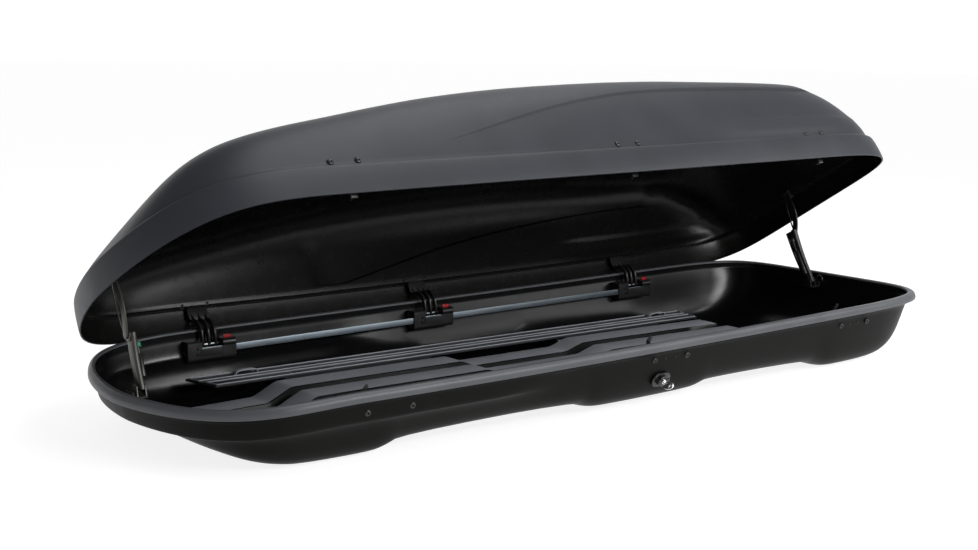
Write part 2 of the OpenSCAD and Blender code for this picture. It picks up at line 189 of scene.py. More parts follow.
def evaluated(piece, name, sharp):
    """The piece with its modifiers applied, as a new object; the old one goes."""
    graph = bpy.context.evaluated_depsgraph_get()
    mesh = bpy.data.meshes.new_from_object(piece.evaluated_get(graph))
    mesh.transform(piece.matrix_world)
    bpy.data.objects.remove(piece)
    return finished(name, mesh, sharp)


SHELL_SHARP = 30  # degrees, sharper bends of the shells are shaded as edges


def shell(name, near, far, ring_finish, columns, outer_height, inner_height, hole=None):
    """A closed thin shell: stacked rings from the outer skin's flat over the rim to the inner skin's flat.

    near, far: lists of (x, half width, z), one per ring, along the near and the far half.
    ring_finish: the material number of each band of rings; the flats take 0 outside and 1 inside.
    columns: places across the flats, from -1 (near) to 1 (far).
    outer_height, inner_height: the flats' heights, as functions of x and that place.
    hole(x, y) says which faces of both flats are cut away.
    """
    n = len(STATIONS)
    around = 2 * n - 2
    points, faces, finishes = [], [], []
    for (x, half, z), (fx, fhalf, fz) in zip(near, far):
        z, fz = z + 0 * x, fz + 0 * fx
        points += list(zip(x, -half, z)) + [(fx[i], fhalf[i], fz[i]) for i in range(n - 2, 0, -1)]
    for r in range(len(near) - 1):
        for i in range(around):
            j = (i + 1) % around
            faces.append((r * around + i, r * around + j, (r + 1) * around + j, (r + 1) * around + i))
            finishes.append(ring_finish[r])
    grids = []
    for ring, height in ((0, outer_height), (len(near) - 1, inner_height)):
        x, half = near[ring][0], near[ring][1]
        base = ring * around
        grid = np.zeros((n, len(columns)), int)
        grid[:, 0] = base + np.arange(n)
        grid[:, -1] = base + (around - np.arange(n)) % around
        grid[0, :] = base
        grid[-1, :] = base + n - 1
        for i in range(1, n - 1):
            for k in range(1, len(columns) - 1):
                grid[i, k] = len(points)
                points.append((x[i], columns[k] * half[i], height(x[i], columns[k])))
        grids.append(grid)
    cut = np.zeros((n - 1, len(columns) - 1), bool)
    for i in range(n - 1):
        for k in range(len(columns) - 1):
            corners = [points[grids[0][i + a, k + b]] for a in (0, 1) for b in (0, 1)]
            x, y, _ = np.mean(corners, axis=0)
            cut[i, k] = bool(hole) and hole(x, y)
    for side, grid in enumerate(grids):
        for i in range(n - 1):
            for k in range(len(columns) - 1):
                ring = [grid[i, k], grid[i, k + 1], grid[i + 1, k + 1], grid[i + 1, k]]
                ring = [int(v) for m, v in enumerate(ring) if v not in ring[:m]]
                if not cut[i, k] and len(ring) > 2:
                    faces.append(tuple(ring))
                    finishes.append(side)
    for i in range(1, n - 2):
        for k in range(1, len(columns) - 2):
            if not cut[i, k]:
                continue
            for di, dk, a, b in ((-1, 0, (0, 0), (0, 1)), (1, 0, (1, 0), (1, 1)),
                                 (0, -1, (0, 0), (1, 0)), (0, 1, (0, 1), (1, 1))):
                if not cut[i + di, k + dk]:
                    faces.append(tuple(int(g[i + c[0], k + c[1]]) for g, c in
                                       ((grids[0], a), (grids[0], b), (grids[1], b), (grids[1], a))))
                    finishes.append(1)
    return mesh_object(name, points, faces, SHELL_SHARP, finishes)


def round_section(width, height, radius, steps=3):
    """Outline of a rounded rectangle about the origin."""
    out = []
    for cx, cy, start in ((1, 1, 0), (-1, 1, 90), (-1, -1, 180), (1, -1, 270)):
        for k in range(steps + 1):
            a = math.radians(start + 90 * k / steps)
            out.append((cx * (width / 2 - radius) + radius * math.cos(a),
                        cy * (height / 2 - radius) + radius * math.sin(a)))
    return np.array(out)


def sweep(path, section, up=(0, 0, 1), scale=None):
    """Points and faces of a bar of this section along a path, its ends eased inwards."""
    path = np.asarray(path, float)
    path = np.vstack([path[:1], path, path[-1:]])
    scale = np.ones(len(path) - 2) if scale is None else np.asarray(scale, float)
    scale = np.r_[0.8 * scale[0], scale, 0.8 * scale[-1]]
    tangent = np.gradient(path[1:-1], axis=0)
    tangent /= np.linalg.norm(tangent, axis=1)[:, None]
    tangent = np.vstack([tangent[:1], tangent, tangent[-1:]])
    path[0] -= 0.6 * tangent[0]
    path[-1] += 0.6 * tangent[-1]
    side = np.cross(tangent, up)
    side /= np.linalg.norm(side, axis=1)[:, None]
    rise = np.cross(side, tangent)
    m = len(section)
    points = [tuple(p + k * (u * a + v * b))
              for p, a, b, k in zip(path, side, rise, scale) for u, v in section]
    faces = [(r * m + i, r * m + (i + 1) % m, (r + 1) * m + (i + 1) % m, (r + 1) * m + i)
             for r in range(len(path) - 1) for i in range(m)]
    faces += [tuple(range(m)), tuple(range(len(points) - m, len(points)))]
    return points, faces


def lathe(profile, place, steps=24):
    """Points and faces of a turned shape; profile is [radius, height], place turns and moves it."""
    points, faces = [], []
    for r, z in profile:
        for k in range(steps):
            a = 2 * math.pi * k / steps
            points.append(tuple(place @ Vector((r * math.cos(a), r * math.sin(a), z))))
    for r in range(len(profile) - 1):
        for i in range(steps):
            j = (i + 1) % steps
            faces.append((r * steps + i, r * steps + j, (r + 1) * steps + j, (r + 1) * steps + i))
    faces += [tuple(range(steps)), tuple(range(len(points) - steps, len(points)))]
    return points, faces


def gather(name, parts, sharp=40):
    """One object of several (points, faces) parts."""
    points, faces = [], []
    for more, joined in parts:
        faces += [tuple(v + len(points) for v in f) for f in joined]
        points += more
    return mesh_object(name, points, faces, sharp)


def lid_pose():
    """The turn that takes a piece built with the lid shut to where the lid stands open."""
    axis = Vector((0, HINGE_Y * MM, HINGE_Z * MM))
    return Matrix.Translation(axis) @ Matrix.Rotation(-OPEN, 4, "X") @ Matrix.Translation(-axis)


# ---- tub ---------------------------------------------------------------------
# Rows are [inset from the rim, share of the rim's height, extra height].
# The nose has a ledge above the belly; the side runs down in one curve.
TUB_NOSE = [(118, 0, 0), (98, 0, 0.6), (84, 0.02, 0), (70, 0.1, -1), (60, 0.25, -5), (52, 0.45, -13),
            (44, 0.66, -22), (36, 0.84, -32), (29, 0.97, -43), (26, 1, -41), (23, 1, -30), (18.8, 1, -9.5)]
TUB_SIDE = [(118, 0, 0), (98, 0, 0.4), (84, 0.015, 0.5), (70, 0.05, 0), (59, 0.11, 0), (50, 0.19, 0),
            (42, 0.32, 0), (35.5, 0.48, 0), (29.5, 0.66, 0), (25, 0.8, 0), (21.5, 0.9, 0), (18.8, 1, -9.5)]
TUB_RIM = [(17, 1, -8), (16.4, 1, -5), (16, 1, -0.2), (13, 1, 0.6), (3, 1, -0.5), (0, 1, -0.2), (0, 1, 3.5),
           (0.8, 1, 10), (4, 1, 15.6), (9, 1, 18.9), (14, 1, 19), (18, 1, 18.4), (19.8, 1, 16), (20.2, 1, 9),
           (20.6, 1, 0)]
SIDE_INSIDE = [(22.5, 0.96, 0), (28, 0.82, 0), (35, 0.62, 0), (43, 0.42, 0), (53, 0.23, 1.5), (66, 0.09, 3),
               (84, 0.02, 4.2), (102, 0, 4.6), (119, 0, 4)]
NOSE_INSIDE = [(23, 1, -9), (27.5, 1, -29.5), (31, 1, -39.5), (36, 0.9, -33), (48.5, 0.66, -19.5),
               (57, 0.45, -10.5), (64.5, 0.25, -2), (78, 0.07, 3), (119, 0, 4)]
TUB_WALL = 4
LEDGE_FROM, LEDGE_TO = -430, -180   # the nose's ledge fades out between these
LIP_FROM, LIP_TO = -1.5, 14         # heights from the rim where the rolled lip's lighter band, a painted highlight, starts and ends
FLAT = 262                          # half width of the floor's flat in the middle of the box
FLAT_COLUMNS = (85, 170, 221, 239, FLAT)
CLAMP_SLOTS = ((-592, -198), (262, 588))
CLAMP_HALF = 9

RIB_Y = (-84, 22, 128)              # floor ribs, across
RIB_LEVEL = np.array([(-960, -40), (-930, -9), (-700, -8), (-640, 20), (-166, 12.5), (-124, -3), (172, -7),
                      (228, 9), (735, -1), (758, -26)])
RIB_SECTION = [(41, 0), (35, 0.9), (33, 0.98), (30, 1)]  # half width, share of the height
RIB_TOP = (2, 3, 4)                 # sides of the section that take the painted highlight
RIB_BEND = (-9, -6, -3, 0, 3, 6, 9)  # points round each bend
RIB_PLACES = 60                     # even points along a rib
RIB_SMOOTH = np.linspace(-7, 7, 9)  # the level is averaged over these
RIB_SUNK = 2                        # depth of a rib's foot in the floor


def tub_rows():
    blend = smoothstep(STATIONS[:, 0], LEDGE_TO, LEDGE_FROM)
    nose = rounded(TUB_NOSE + TUB_RIM + NOSE_INSIDE)
    side = rounded(TUB_SIDE + TUB_RIM + SIDE_INSIDE)
    for a, b in zip(nose, side):
        row = a[:, None] * blend + b[:, None] * (1 - blend)
        x, half = near_half(row[0])
        yield x, half, RIM + row[1] * rim_rise(x) + (1 - row[1]) * underside(x) + row[2]


def floor_height(x, place):
    return RIM + underside(x) + TUB_WALL


def clamp_cut(x, y):
    return any(low < x < high for low, high in CLAMP_SLOTS) and abs(abs(y) - RAIL_Y) < CLAMP_HALF


def floor_rib(y):
    """A long flat-topped rib that steps with the floor."""
    points, faces, finishes = [], [], []
    section = [(side * half, share) for side, half, share in
               [(-1, *row) for row in RIB_SECTION] + [(1, *row) for row in RIB_SECTION[::-1]]]
    corners = [x + d for x in RIB_LEVEL[1:-1, 0] for d in RIB_BEND]
    along = np.unique(np.r_[corners, np.linspace(RIB_LEVEL[0, 0], RIB_LEVEL[-1, 0], RIB_PLACES)])
    for x in along:
        low = floor_height(x, 0) - RIB_SUNK
        level = np.mean(np.interp(x + RIB_SMOOTH, RIB_LEVEL[:, 0], RIB_LEVEL[:, 1]))
        top = max(level, low + 1)
        points += [(x, y + across, low + share * (top - low)) for across, share in section]
    m = len(section)
    for r in range(len(along) - 1):
        for i in range(m):
            j = (i + 1) % m
            faces.append((r * m + i, r * m + j, (r + 1) * m + j, (r + 1) * m + i))
            # the top sides take material 0, a light grey painted highlight; the rest take the dark inside
            # plastic
            finishes.append(int(i not in RIB_TOP))
    faces += [tuple(range(m)), tuple(range(len(points) - m, len(points)))]
    return mesh_object(f"floor_rib_{y - RIB_Y[0]}", points, faces, 25, finishes + [1, 1])


def build_tub():
    columns = np.array([-v for v in FLAT_COLUMNS[::-1]] + [0, *FLAT_COLUMNS]) / FLAT
    outside = lambda x, place: RIM + underside(x)
    rings = list(tub_rows())
    middle = len(STATIONS) // 2
    tops = [z[middle] - rim_rise(x[middle]) - RIM for x, _, z in rings]
    lip_from = next(r for r, top in enumerate(tops) if top > LIP_FROM)
    lip_to = 1 + max(r for r, top in enumerate(tops) if top > LIP_TO)
    # finish 2, the lighter band over the rolled lip, is a painted highlight where light falls on the rim
    finish = [0 if r < lip_from else 2 if r < lip_to else 1 for r in range(len(rings))]
    tub = shell("tub", rings, rings, finish, columns, outside, floor_height, clamp_cut)
    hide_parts("tub_shell")
    return tub


# ---- lid ---------------------------------------------------------------------
# Rows are [inset, share of the crown's height, height above the rim], skirt first.
LID_SKIRT = [(6.2, 0, 22), (5.6, 0, 30), (6.2, 0, 48), (8, 0, 68), (10.5, 0, 82), (12, 0, 86), (15, 0, 88.6),
             (19, 0, 89.2)]
LID_DOME = [(21, 0.05, 88.5), (24, 0.18, 88.5), (29, 0.34, 88.5), (36, 0.5, 88.5), (45, 0.635, 88.5),
            (57, 0.755, 88.5), (74, 0.85, 88.5), (100, 0.925, 88.5), (140, 0.972, 88.5), (200, 1, 88.7),
            (262, 1, 92)]
LID_NOSE = 12                       # how much further the lid reaches at the nose
LID_ROWS = 26                       # rings of a skin below its crease, and as many above it
LID_COLUMNS = 31                    # places across the top
LID_WALL = 3.5
SKIRT_TOP = 88.5
SKIRT_BEND = 82                     # from here up the inner skin lies lower by the wall
# Each side's long crease: height above the rim along x, then where it fades in and out.
# The panel above it stands proud.
CREASES = {
    -1: (rounded([(-560, 104), (-441, 128), (-323, 153), (-196, 182), (-61, 211), (78, 234), (218, 247),
                  (431, 252), (817, 246), (1000, 225)]), (-470, -150, 810, 900)),
    1: (rounded([(-420, 80), (-335, 94), (-240, 112), (-108, 139), (30, 167), (170, 186), (315, 202),
                 (465, 213), (621, 221), (781, 223), (900, 218), (1000, 205)]), (-400, -330, 800, 870))}
CREASE_SHARES = (0.07, 0.93)        # a crease keeps to these shares of the dome's height
CREASE_LEAD, CREASE_TRAIL = 250, 150  # the rows slide to the crease over these lengths before and after it
CREASE_WIDTH = 0.3                  # rows from the foot of the step to its top
PLAIN_SPLIT = 0.62                  # share of the height where the rows divide without a crease
CREASE_STEP = 5
LOW_CREASE = (400, 560, 152)        # from, to full depth, height of the short crease towards the tail
LOW_STEP = 2.4
HOOD_RISE = 4
HOOD_ENDS = (-850, -560, 560, 838)  # the hood rises between the first two and falls between the last two


def lid_rows(side, inner):
    """Rings of one skin of the lid, from skirt to top, for one side; one ring follows the side's crease."""
    dome = rounded(LID_DOME)
    share = dome[:, 1]
    order = np.arange(len(share))
    x0 = STATIONS[:, 0]
    line, fade = CREASES[side]
    crease_share = (np.interp(x0, line[:, 0], line[:, 1]) - SKIRT_TOP) / (crown(x0) - SKIRT_TOP)
    crease_at = np.interp(np.clip(crease_share, *CREASE_SHARES), share, order)
    strength = smoothstep(x0, *fade[:2]) * (1 - smoothstep(x0, *fade[2:]))
    blend = smoothstep(x0, fade[0] - CREASE_LEAD, fade[0]) * (
        1 - smoothstep(x0, fade[3], fade[3] + CREASE_TRAIL))
    start = crease_at * blend + np.interp(PLAIN_SPLIT, share, order) * (1 - blend)
    over = start + CREASE_WIDTH * strength
    wall = LID_WALL if inner else 0
    for row in rounded(LID_SKIRT, 1):
        x, half = near_half(row[0] + wall, LID_NOSE)
        yield x, half, RIM + row[2] + rim_rise(x) - (wall if row[2] > SKIRT_BEND else 0)
    steps = np.linspace(0, 1, LID_ROWS)
    rows = [(t * start, 0 * start) for t in steps[1:]]
    rows += [(over + (order[-1] - over) * t ** 1.3,
              CREASE_STEP * strength * (1 - smoothstep(t, 0.1, 0.75))) for t in steps]
    for at, proud in rows:
        inset, rise, level = [np.interp(at, order, dome[:, k]) for k in range(3)]
        height = level + rise * (crown(x0) - SKIRT_TOP)
        low = LOW_STEP * smoothstep(x0, *LOW_CREASE[:2]) * smoothstep(LOW_CREASE[2] - height, 0, 9)
        low = low * smoothstep(height, SKIRT_TOP, SKIRT_TOP + 30)
        x, half = near_half(inset + wall - 0.8 * proud - low, LID_NOSE)
        z = (1 - rise) * (level + rim_rise(x)) + rise * (crown(x) + level - SKIRT_TOP)
        yield x, half, RIM + z - wall + 0.6 * proud


def lid_top(x, place):
    """Height of the lid's top, with the low hood along its middle."""
    along = smoothstep(x, *HOOD_ENDS[:2]) * (1 - smoothstep(x, *HOOD_ENDS[2:]))
    return RIM + crown(x) + LID_DOME[-1][2] - SKIRT_TOP + HOOD_RISE * (1 - place * place) * along


def build_lid():
    columns = np.linspace(-1, 1, LID_COLUMNS)
    inside = lambda x, place: lid_top(x, place) - LID_WALL
    near, far = [list(lid_rows(side, False))[::-1] + list(lid_rows(side, True)) for side in (-1, 1)]
    finish = [int(r >= len(near) // 2) for r in range(len(near))]
    lid = shell("lid", near, far, finish, columns, lid_top, inside)
    lid.data.transform(lid_pose())
    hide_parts("lid_shell")
    return lid


# ---- materials ---------------------------------------------------------------
GRAIN_SCALE = 900                   # noise scale of the plastics' grain
SMOOTH_GRAIN = 0.00001              # depth of the grain on the glossy insides
STREAK_SCALE = 500                  # noise scale of the metals' streaks
STREAK_STRETCH = (0.02, 1, 1)


def shader(name):
    mat = bpy.data.materials.new(name)
    mat.use_nodes = True
    return mat, mat.node_tree.nodes, mat.node_tree.links, mat.node_tree.nodes["Principled BSDF"]


def noise(nodes, links, coordinates, scale, detail, stretch=(1, 1, 1)):
    mapping = nodes.new("ShaderNodeMapping")
    mapping.inputs["Scale"].default_value = stretch
    links.new(coordinates.outputs["Object"], mapping.inputs["Vector"])
    tex = nodes.new("ShaderNodeTexNoise")
    tex.inputs["Scale"].default_value = scale
    tex.inputs["Detail"].default_value = detail
    links.new(mapping.outputs["Vector"], tex.inputs["Vector"])
    return tex.outputs["Fac"]


def ramp(nodes, links, value, low, high):
    """A colour ramp from low to high over the middle of a noise."""
    r = nodes.new("ShaderNodeValToRGB")
    r.color_ramp.elements[0].position = 0.3
    r.color_ramp.elements[1].position = 0.7
    r.color_ramp.elements[0].color = (*low, 1)
    r.color_ramp.elements[1].color = (*high, 1)
    links.new(value, r.inputs["Fac"])
    return r.outputs["Color"]


def moulded(name, colour, rough, specular, grain=0.0002):
    """Moulded or formed plastic: faint cloudy colour, uneven gloss and a fine grain."""
    mat, nodes, links, bsdf = shader(name)
    at = nodes.new("ShaderNodeTexCoord")
    cloud = noise(nodes, links, at, 7, 4)
    low = tuple(c * 0.86 for c in colour)
    high = tuple(c * 1.12 for c in colour)
    links.new(ramp(nodes, links, cloud, low, high), bsdf.inputs["Base Color"])
    scuff = noise(nodes, links, at, 38, 6)
    gloss = nodes.new("ShaderNodeMapRange")
    gloss.inputs["To Min"].default_value = rough - 0.04
    gloss.inputs["To Max"].default_value = rough + 0.05
    links.new(scuff, gloss.inputs["Value"])
    links.new(gloss.outputs["Result"], bsdf.inputs["Roughness"])
    bump = nodes.new("ShaderNodeBump")
    bump.inputs["Strength"].default_value = 0.18
    bump.inputs["Distance"].default_value = grain
    links.new(noise(nodes, links, at, GRAIN_SCALE, 2), bump.inputs["Height"])
    links.new(bump.outputs["Normal"], bsdf.inputs["Normal"])
    bsdf.inputs["Specular IOR Level"].default_value = specular
    return mat


def plated(name, colour, rough, metallic=1.0):
    """Plated or coated metal, with fine streaks along x."""
    mat, nodes, links, bsdf = shader(name)
    at = nodes.new("ShaderNodeTexCoord")
    streak = noise(nodes, links, at, STREAK_SCALE, 5, STREAK_STRETCH)
    low = tuple(c * 0.8 for c in colour)
    links.new(ramp(nodes, links, streak, low, colour), bsdf.inputs["Base Color"])
    gloss = nodes.new("ShaderNodeMapRange")
    gloss.inputs["To Min"].default_value = rough - 0.06
    gloss.inputs["To Max"].default_value = rough + 0.1
    links.new(streak, gloss.inputs["Value"])
    links.new(gloss.outputs["Result"], bsdf.inputs["Roughness"])
    bump = nodes.new("ShaderNodeBump")
    bump.inputs["Strength"].default_value = 0.2
    bump.inputs["Distance"].default_value = 0.0001
    links.new(streak, bump.inputs["Height"])
    links.new(bump.outputs["Normal"], bsdf.inputs["Normal"])
    bsdf.inputs["Metallic"].default_value = metallic
    return mat


MATS = {
    "tub_plastic": moulded("tub_plastic", (0.0042, 0.0043, 0.0038), 0.4, 0.06),
    "lid_plastic": moulded("lid_plastic", (0.026, 0.0275, 0.034), 0.45, 0.25),
    "rail_plastic": moulded("rail_plastic", (0.02, 0.021, 0.024), 0.4, 0.5),
    "housing_plastic": moulded("housing_plastic", (0.01, 0.01, 0.0105), 0.36, 0.5),
    "bar_steel": plated("bar_steel", (0.34, 0.40, 0.45), 0.4),
    "latch_steel": plated("latch_steel", (0.02, 0.02, 0.021), 0.28, metallic=0.3),
    "pin_steel": plated("pin_steel", (0.45, 0.45, 0.46), 0.3),
    "indicator_red": moulded("indicator_red", (0.42, 0.012, 0.012), 0.3, 0.5),
    "screw_black": plated("screw_black", (0.006, 0.006, 0.007), 0.3, metallic=0.1),
    "lock_chrome": plated("lock_chrome", (0.72, 0.72, 0.72), 0.2),
    "lock_plastic": moulded("lock_plastic", (0.008, 0.008, 0.009), 0.28, 0.5),
    "arm_metal": plated("arm_metal", (0.05, 0.049, 0.043), 0.36, metallic=0.3),
    "strut_metal": plated("strut_metal", (0.014, 0.014, 0.015), 0.3, metallic=0.3),
    "brass": plated("brass", (0.62, 0.42, 0.18), 0.3),
}
INSIDE_TUB = moulded("inside_tub", (0.003, 0.0031, 0.0036), 0.23, 0.28, SMOOTH_GRAIN)
INSIDE_LID = moulded("inside_lid", (0.0035, 0.0036, 0.0032), 0.26, 0.24, SMOOTH_GRAIN)
# a lighter copy of the tub's plastic for the rolled lip: a painted highlight where light falls on the rim
PAINTED_RIM_HIGHLIGHT = moulded("painted_rim_highlight", (0.066, 0.068, 0.076), 0.42, 0.4)
# light grey for the rib tops and rail beads: a painted highlight where light falls on them
PAINTED_TOP_HIGHLIGHT = moulded("painted_top_highlight", (0.27, 0.28, 0.31), 0.4, 0.5)
BUSH_GREEN = moulded("bush_green", (0.01, 0.14, 0.08), 0.35, 0.5)
PLUG_WHITE = moulded("plug_white", (0.55, 0.57, 0.6), 0.35, 0.5)
BLACK_ARM = plated("black_arm", (0.012, 0.012, 0.0125), 0.3, metallic=0.3)
LIFTER_METAL = {"front": MATS["arm_metal"], "rear": BLACK_ARM}
NODE_SLOT = {s["node"]: s["material_slot"] for s in frame["record"]["subparts"]}
for node_name, node_object in frame["nodes"].items():
    node_object.data.materials.clear()
    node_object.data.materials.append(MATS[NODE_SLOT[node_name]])


def dress(piece, body, mat, slot=None):
    """Gives a piece its finish and the body it moves with."""
    piece.data.materials.append(mat)
    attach(piece, body)
    return piece


# ---- rounded copies of the hard CAD parts --------------------------------------
MERGE_ANGLE = 0.03  # radians, faces that bend less than this become one before the rounding


def soften(node, bevel, mat=None):
    """A copy of a CAD part with its edges rounded, which stands for it."""
    mesh = frame["nodes"][node].data.copy()
    mesh.materials.clear()
    bm = bmesh.new()
    bm.from_mesh(mesh)
    bmesh.ops.remove_doubles(bm, verts=bm.verts, dist=MERGE)
    bmesh.ops.dissolve_limit(bm, angle_limit=MERGE_ANGLE, verts=bm.verts, edges=bm.edges)
    bm.to_mesh(mesh)
    bm.free()
    raw = bpy.data.objects.new(node + "_raw", mesh)
    bpy.context.scene.collection.objects.link(raw)
    mod = raw.modifiers.new("round", "BEVEL")
    mod.width = bevel * MM
    mod.segments = 2
    mod.limit_method = "ANGLE"
    mod.angle_limit = math.radians(32)
    piece = evaluated(raw, node + "_rounded", 50)
    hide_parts(node)
    return dress(piece, frame["nodes"][node]["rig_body"], mat or MATS[NODE_SLOT[node]], NODE_SLOT[node])


for kind, bevel, mat in (("latch_housing", 1.4, None), ("hinge_housing", 1.4, None), ("claw", 0.8, BLACK_ARM),
                         ("striker", 0.8, BLACK_ARM), ("indicator", 0.8, None)):
    for number in (1, 2, 3):
        soften(f"{kind}_{number}", bevel, mat)
for node_name, bevel in (("rail_near", 0.9), ("rail_far", 0.9), ("lock_bar_near", 0.5), ("lock_bar_far", 0.5),
                         ("lock_bezel", 1.2), ("lock_knob", 1.2), ("key_cylinder", 0.6), ("key", 0.4),
                         ("front_foot", 0.6), ("front_lid_bracket", 0.6), ("front_rivets", 0.8),
                         ("rear_foot", 0.6), ("rear_lid_bracket", 0.6), ("rear_rivets", 0.8)):
    soften(node_name, bevel, BLACK_ARM if node_name == "rear_foot" else None)


# ---- shells --------------------------------------------------------------------
tub = dress(build_tub(), "tub", MATS["tub_plastic"], "tub_plastic")
for mat in (INSIDE_TUB, PAINTED_RIM_HIGHLIGHT):
    tub.data.materials.append(mat)
for across in RIB_Y:
    # the rib's top carries the painted highlight colour
    rib = dress(floor_rib(across), "tub", PAINTED_TOP_HIGHLIGHT)
    rib.data.materials.append(INSIDE_TUB)
lid = dress(build_lid(), "lid", MATS["lid_plastic"], "lid_plastic")
lid.data.materials.append(INSIDE_LID)


# ---- hinge arms ----------------------------------------------------------------
SEAT = 22.3  # inset of the brackets' plates behind the lid's wall
ARM_SECTION = round_section(8.5, 5, 2.2)
ARM_OFFSETS = (-16.5, 0, 16.5)
EYE = [(3.1, 0), (4.6, 0), (5, 0.5), (5, 4.7), (4.6, 5.2), (3.1, 5.2)]
EYE_HALF = 2.6


def facing_x(x, y, z, side=1):
    """A place whose own z points along x, or against it for side -1."""
    return Matrix.Translation((x, y, z)) @ Matrix.Rotation(side * math.pi / 2, 4, "Y")


def plate(x0, x1, y0, y1, z0, z1, radius):
    """Rounded plate standing across y, thin along y."""
    section = round_section(x1 - x0, z1 - z0, radius)
    path = [((x0 + x1) / 2, y, (z0 + z1) / 2) for y in (y0, y0 + 0.6, y1 - 0.6, y1)]
    return sweep(path, section, scale=(1, 1, 1, 1))


def opened(parts):
    """The (points, faces) parts, built with the lid shut, turned to where the lid stands open."""
    turn = lid_pose()
    return [([tuple((turn @ (Vector(p) * MM)) / MM) for p in points], faces) for points, faces in parts]


for number, x in enumerate(FAR_X):
    reach = float(half_width(np.array(x))) - SEAT - HINGE_Y
    bend = rounded([(0, 0), (-7, 12), (-13, 31), (-10, 46), (0, 57), (reach - 6, 61), (reach - 2.5, 67),
                    (reach - 2, 77)], 3)
    width = 1.4 - 0.6 * smoothstep(np.linspace(0, 1, len(bend)), 0.5, 1)
    parts = []
    for offset in ARM_OFFSETS:
        path = np.stack([0 * bend[:, 0] + x + offset, HINGE_Y + bend[:, 0], HINGE_Z + bend[:, 1]], 1)
        parts.append(sweep(path, ARM_SECTION, ACROSS, width))
        parts.append(lathe(EYE, facing_x(x + offset - EYE_HALF, HINGE_Y, HINGE_Z)))
    parts.append(plate(x - 25, x + 25, HINGE_Y + reach - 3, HINGE_Y + reach, HINGE_Z + 64, HINGE_Z + 96, 9))
    arms = gather(f"hinge_arms_{number + 1}_curved", opened(parts), 45)
    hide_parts(f"hinge_arms_{number + 1}")
    dress(arms, "lid", MATS["latch_steel"], NODE_SLOT[f"hinge_arms_{number + 1}"])


# ---- screws --------------------------------------------------------------------
HEAD = [(0.4, 2.2), (2, 2.2), (2.6, 3.9), (3.2, 4.2), (5.2, 3.7), (6.4, 2.6), (7.4, 1.5), (7.6, 0.9),
        (7.4, 0.5), (2.5, 0.5)]
DIMPLE = [(0.3, 0.9), (1.2, 0.9), (1.9, 0.6), (2.1, -0.6), (0.3, -0.6)]
DIMPLE_AT = (-18, 14)  # along the wall, from the middle of a pair of screws


def wall_place(x, side, inset, z, lean):
    """A place on the wall at x whose own z points outwards; lean tips it below the level."""
    base = Matrix.Translation((x, side * (float(half_width(np.array(x))) - inset), z))
    return base @ Matrix.Rotation(math.radians(-side * (90 + lean)), 4, "X")


def screws(node, xs, side, inset, z, lean, half, length, body):
    """Pairs of round-headed screws, half apart from each x; the tub's also have two dimples beside them."""
    shank = [(2.5, 1 - length), (0.4, 1 - length)]
    parts = []
    for x in xs:
        for s in (-half, half):
            parts.append(lathe(HEAD + shank, wall_place(x + s, side, inset, z, lean)))
        if body == "tub":
            parts += [lathe(DIMPLE, wall_place(x + s, side, inset - 0.6, z + 1, lean), 12) for s in DIMPLE_AT]
    piece = gather(node + "_turned", opened(parts) if body == "lid" else parts, 30)
    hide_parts(node)
    dress(piece, body, MATS["screw_black"], "screw_black")


screws("tub_screws_near", NEAR_X, -1, 25, RIM - 25, 17, 52, 16, "tub")
screws("tub_screws_far", FAR_X, 1, 25, RIM - 25, 17, 52, 16, "tub")
screws("lid_screws_near", NEAR_X, -1, 21.2, RIM + 99.5, -8, 32, 9, "lid")
screws("lid_screws_far", FAR_X, 1, 17.5, RIM + 91, 0, 32, 9, "lid")


# ---- lifters -------------------------------------------------------------------
# Each has its plane along x, the side the wall is on, then [y, z above the rim] of the foot, elbow and lid
# pivots, and of the points that the strap and the thin rod beside it bulge to. The lid pivots stand open.
LIFTERS = {"front": (-1042, -1, (20, -4), (55, 96), (116.1, 215.4), (56, 168), (112, 165)),
           "rear": (1048, 1, (20, 5), (92, 131), (131.3, 240.2), (84, 196), (130, 200))}
ARM_WIDTHS = {"front": (22, 26), "rear": (25, 36)}  # of the lower arm, at its foot and its elbow
ARM_BOW = 3.5
ARM_BASE = 20                                       # width of the lower arm's section before it is scaled
ARM_MIDDLE = 10                                     # from the lifter's plane to the lower arm's middle
ARM_FACE = 4.5                                      # from there to the arm's face, with its groove
STRUT_MIDDLE = 19
BARREL = 0.62                                       # share of the lifter's length that the barrel takes
PIVOT_DISC = [(0.4, 0.2), (6.6, 0.2), (7, 0.6), (7, 3.6), (6.6, 4), (0.4, 4)]
ELBOW_CAP = [(0.4, -0.6), (11, -0.6), (12.5, -1.6), (12.5, -2.6), (11.5, -3), (0.4, -3)]
STRUT_PIN = [(0.4, 0), (2.7, 0), (3, 0.4), (3, 9.3), (0.4, 9.3)]
LOOP_X = 1052                                       # the wire loop at the rear foot


def up_rim(x, line):
    """The path of a line of [y, z above the rim] in the plane at x."""
    return np.c_[x + 0 * line[:, 0], line[:, 0], line[:, 1] + RIM]


def bezier(a, b, c, steps=16):
    t = np.linspace(0, 1, steps)[:, None]
    return (1 - t) ** 2 * np.array(a) + 2 * t * (1 - t) * np.array(b) + t * t * np.array(c)


